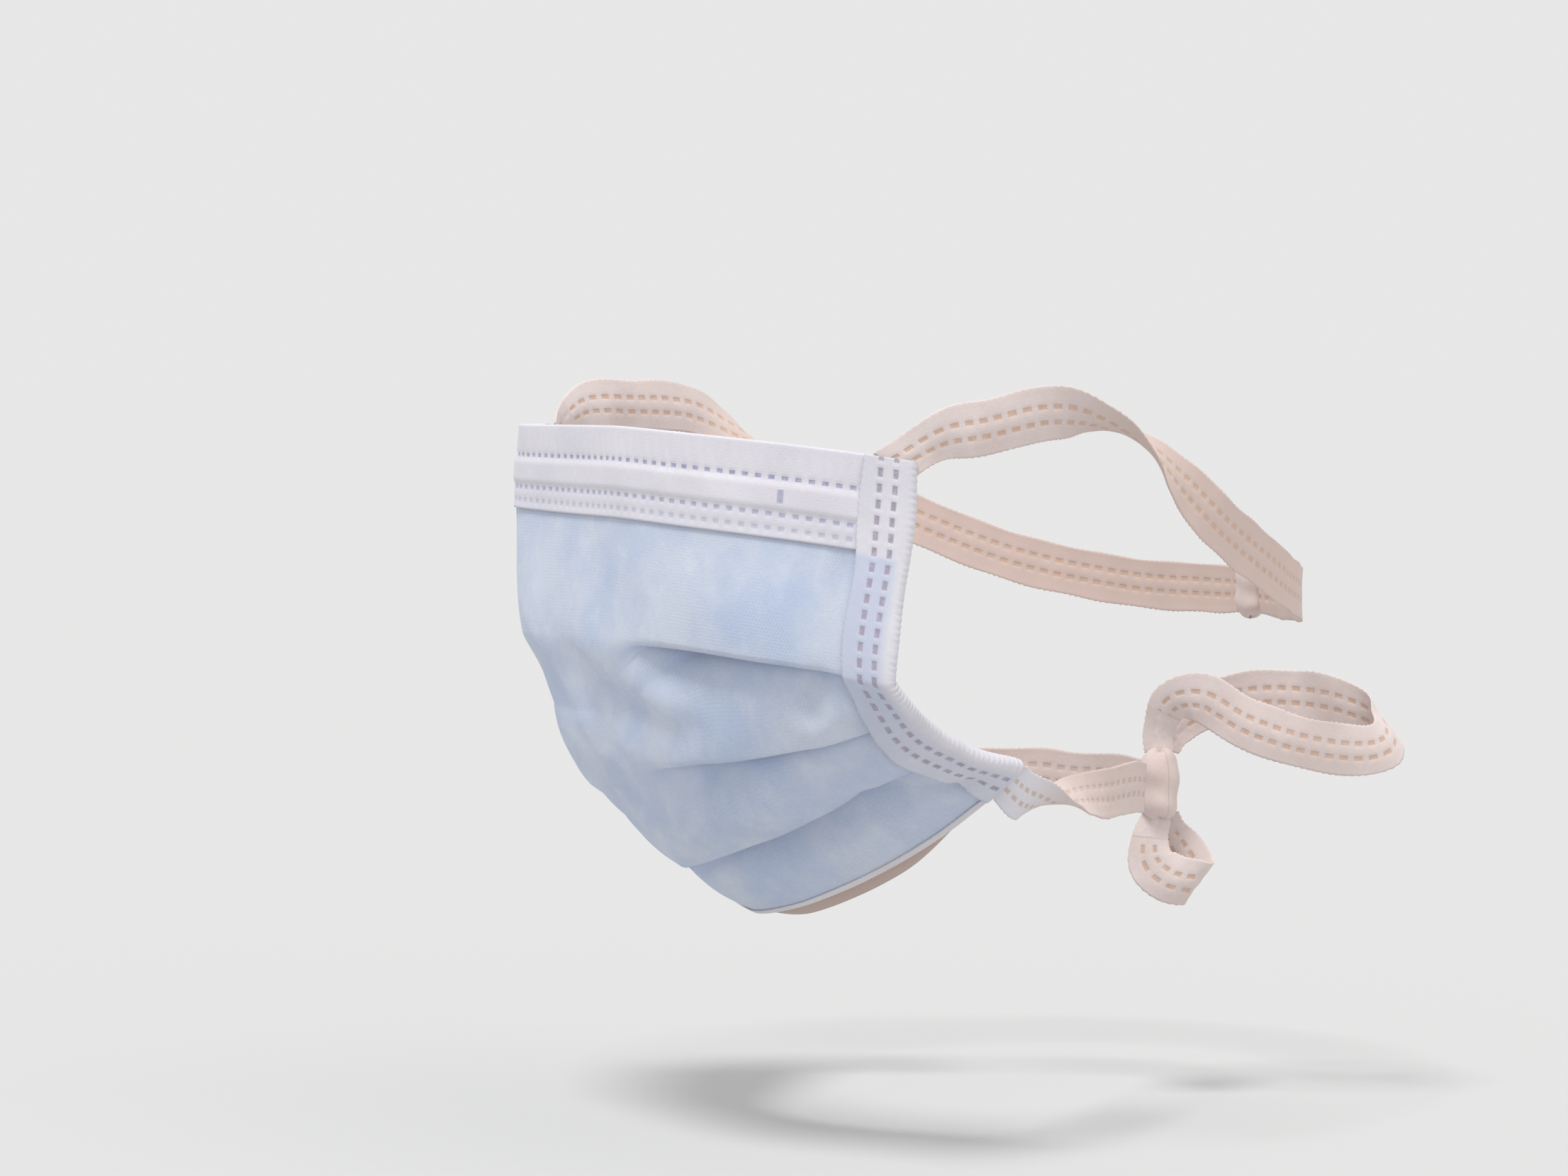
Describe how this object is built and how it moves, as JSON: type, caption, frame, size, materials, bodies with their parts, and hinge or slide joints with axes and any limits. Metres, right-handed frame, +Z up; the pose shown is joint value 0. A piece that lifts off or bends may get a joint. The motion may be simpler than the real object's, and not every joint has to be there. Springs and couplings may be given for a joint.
{
  "type": "tie-on surgical face mask",
  "caption": "Pleated three-ply surgical face mask with a white top band, taped side edges and tape ties knotted behind the head and neck, held as it is worn.",
  "frame": {"origin": "inner face of the top edge on the bridge of the nose", "axes": "+Z up, the wearer looks along -Y, +X is the wearer's left"},
  "size_m": [0.172, 0.2107, 0.1332],
  "materials": {
    "cover": "pale blue spun-bonded nonwoven with a fine point-bond pattern, slightly cloudy",
    "lining": "soft white nonwoven, matt",
    "band": "white nonwoven with rows of small weld marks",
    "binding": "white nonwoven tape with two rows of weld marks",
    "tie": "warm white nonwoven tape with two rows of weld marks"
  },
  "bodies": {
    "root": {"outer_cover": "cover", "inner_lining": "lining", "top_band": "band", "bottom_hem": "lining", "left_binding": "binding", "right_binding": "binding", "left_top_tie": "tie", "right_top_tie": "tie", "left_bottom_tie": "tie", "right_bottom_tie": "tie", "top_knot": "tie", "bottom_knot": "tie", "bow_loop_back": "tie", "bow_loop_down": "tie"}
  },
  "joints": []
}
